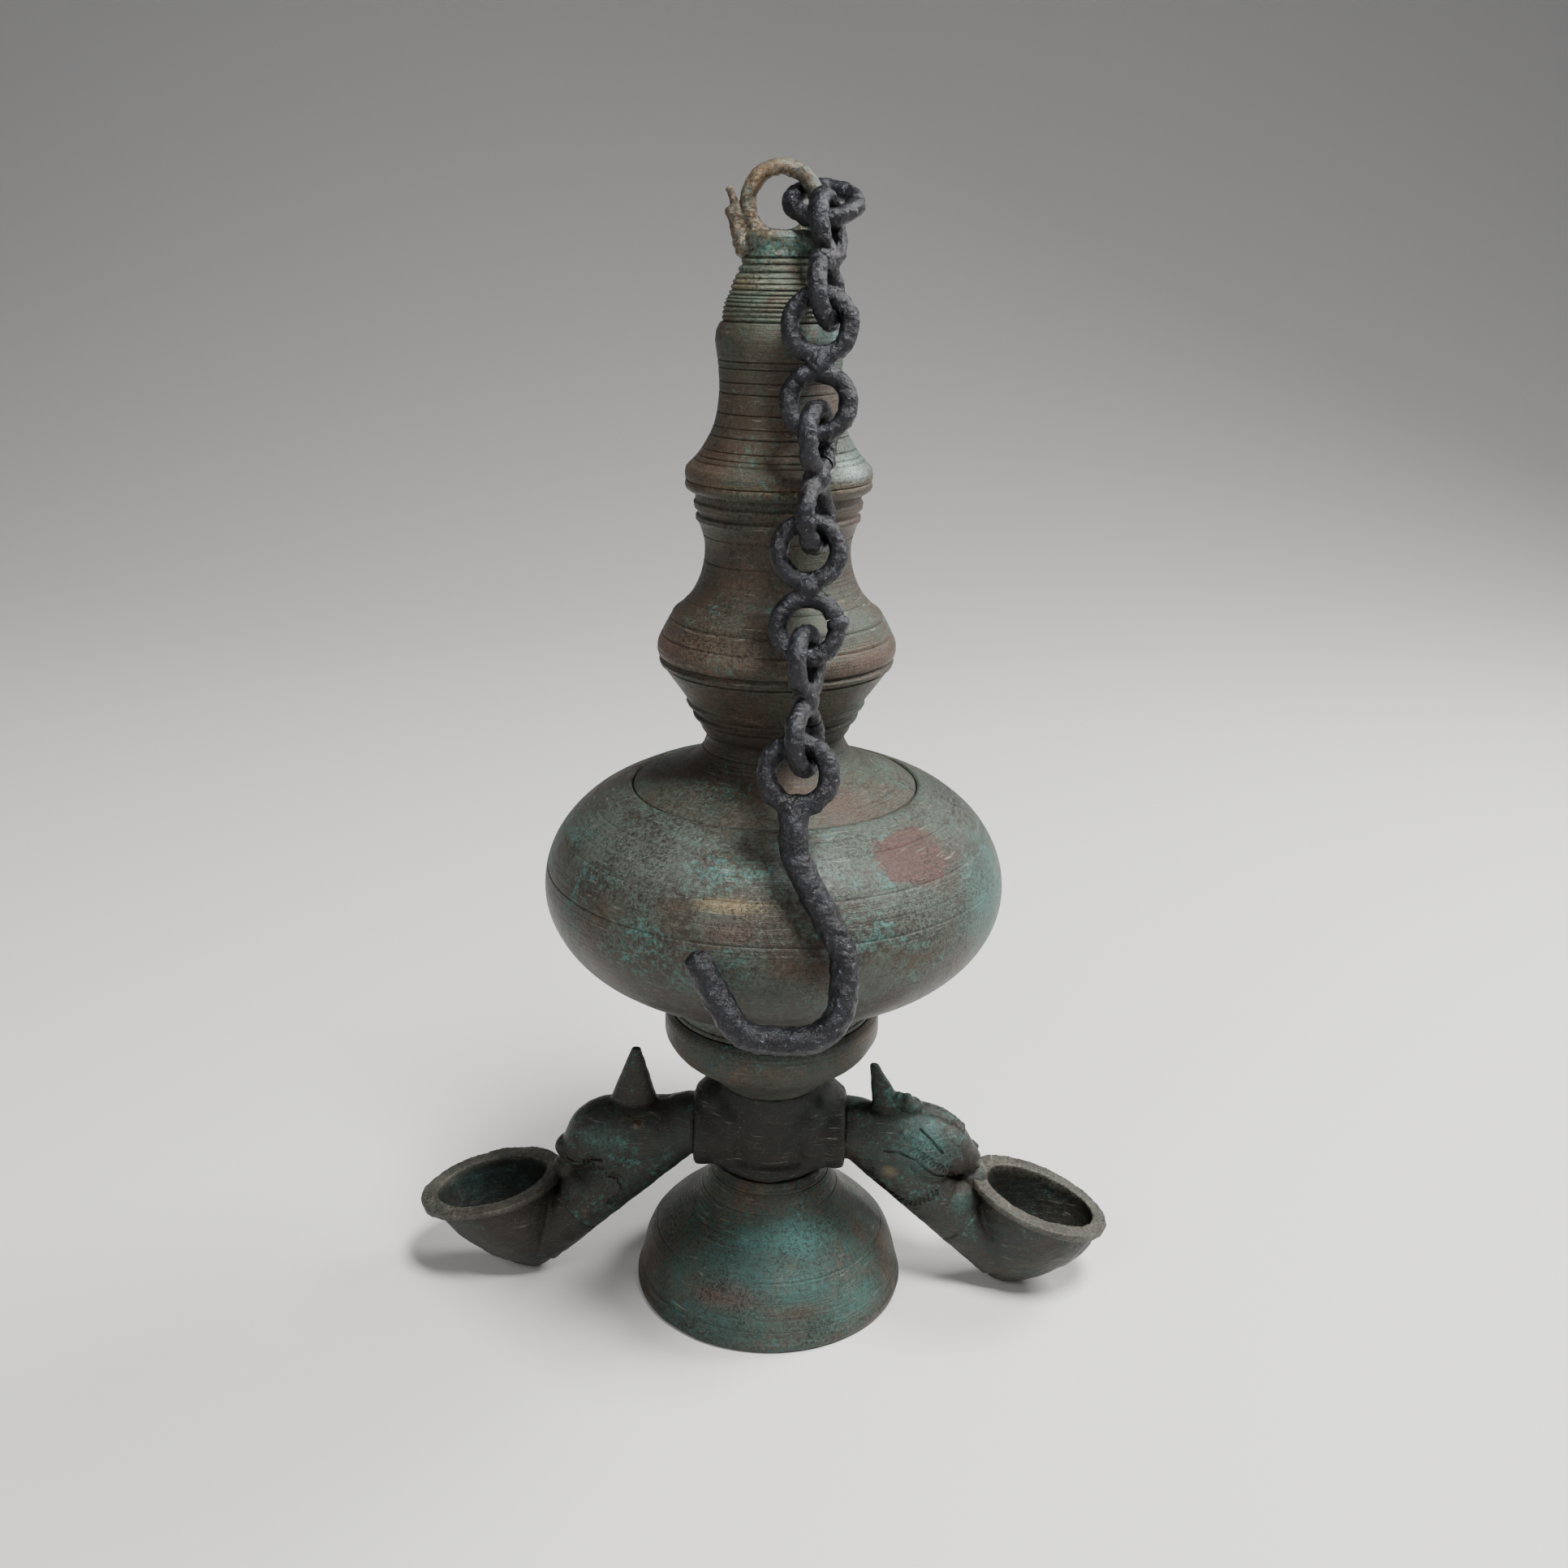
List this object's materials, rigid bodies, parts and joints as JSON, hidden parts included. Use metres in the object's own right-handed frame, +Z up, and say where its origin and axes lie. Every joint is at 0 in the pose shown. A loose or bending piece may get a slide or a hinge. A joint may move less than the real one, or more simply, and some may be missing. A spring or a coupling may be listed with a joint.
{
  "type": "diya oil lamp",
  "caption": "Footed bronze oil lamp: domed base, animal-headed arms with oval wick cups, bulbous oil reservoir under a waisted screw-on tower, and an iron hanging chain with a hook.",
  "frame": {"origin": "on the lamp's turning axis, in the plane that the foot rim stands on", "axes": "+Z up along the axis, the two arms along -X and +X, the chain and hook on the front side, -Y"},
  "size_m": [0.2114, 0.1442, 0.3257],
  "materials": {
    "bronze": "old cast bronze, brown with green and teal verdigris, fine turning lines, dull",
    "iron": "hand-forged iron, dark grey, pitted, half-dull",
    "leather": "oil-soaked leather, nearly black"
  },
  "bodies": {
    "lamp": {"foot": "bronze", "hub": "bronze", "left_arm": "bronze", "right_arm": "bronze", "left_cup": "bronze", "right_cup": "bronze", "collar": "bronze", "reservoir": "bronze"},
    "washer": {"lid_washer": "leather"},
    "tower": {"tower_lower": "bronze", "tower_upper": "bronze", "finial_cone": "bronze", "suspension_loop": "bronze"},
    "ring": {"ring_link": "iron"},
    "link_1": {"link_1": "iron"},
    "link_2": {"link_2": "iron"},
    "link_3": {"link_3": "iron"},
    "link_4": {"link_4": "iron"},
    "link_5": {"link_5": "iron"},
    "hook": {"hook": "iron"}
  },
  "joints": [
    {"name": "lid_lift", "type": "slide", "parent": "lamp", "child": "washer", "axis": [0, 0, 1], "range_m": [0, 0.008]},
    {"name": "lid_turn", "type": "hinge", "parent": "washer", "child": "tower", "pos_m": [0, 0, 0.162], "axis": [0, 0, 1], "range_deg": [0, 720]},
    {"name": "ring_swing", "type": "hinge", "parent": "tower", "child": "ring", "pos_m": [0.0086, 0, 0.31505], "axis": [-1, 0, 0], "range_deg": [0, 35]},
    {"name": "link_1_swing", "type": "hinge", "parent": "ring", "child": "link_1", "pos_m": [0.0103, -0.00872, 0.31147], "axis": [-1, 0, 0], "range_deg": [0, 25]},
    {"name": "link_2_swing", "type": "hinge", "parent": "link_1", "child": "link_2", "pos_m": [0.0104, -0.02176, 0.294], "axis": [-1, 0, 0], "range_deg": [0, 40]},
    {"name": "link_3_swing", "type": "hinge", "parent": "link_2", "child": "link_3", "pos_m": [0.0104, -0.02916, 0.26164], "axis": [-1, 0, 0], "range_deg": [0, 40]},
    {"name": "link_4_swing", "type": "hinge", "parent": "link_3", "child": "link_4", "pos_m": [0.009, -0.0344, 0.24077], "axis": [-1, 0, 0], "range_deg": [0, 45]},
    {"name": "link_5_swing", "type": "hinge", "parent": "link_4", "child": "link_5", "pos_m": [0.009, -0.04365, 0.20888], "axis": [-1, 0, 0], "range_deg": [0, 40]},
    {"name": "hook_swing", "type": "hinge", "parent": "link_5", "child": "hook", "pos_m": [0.0076, -0.05059, 0.18883], "axis": [-1, 0, 0], "range_deg": [0, 45]}
  ],
  "couplings": [
    {"joint": "lid_lift", "follows": "lid_turn", "m_per_rad": 0.00063662}
  ]
}
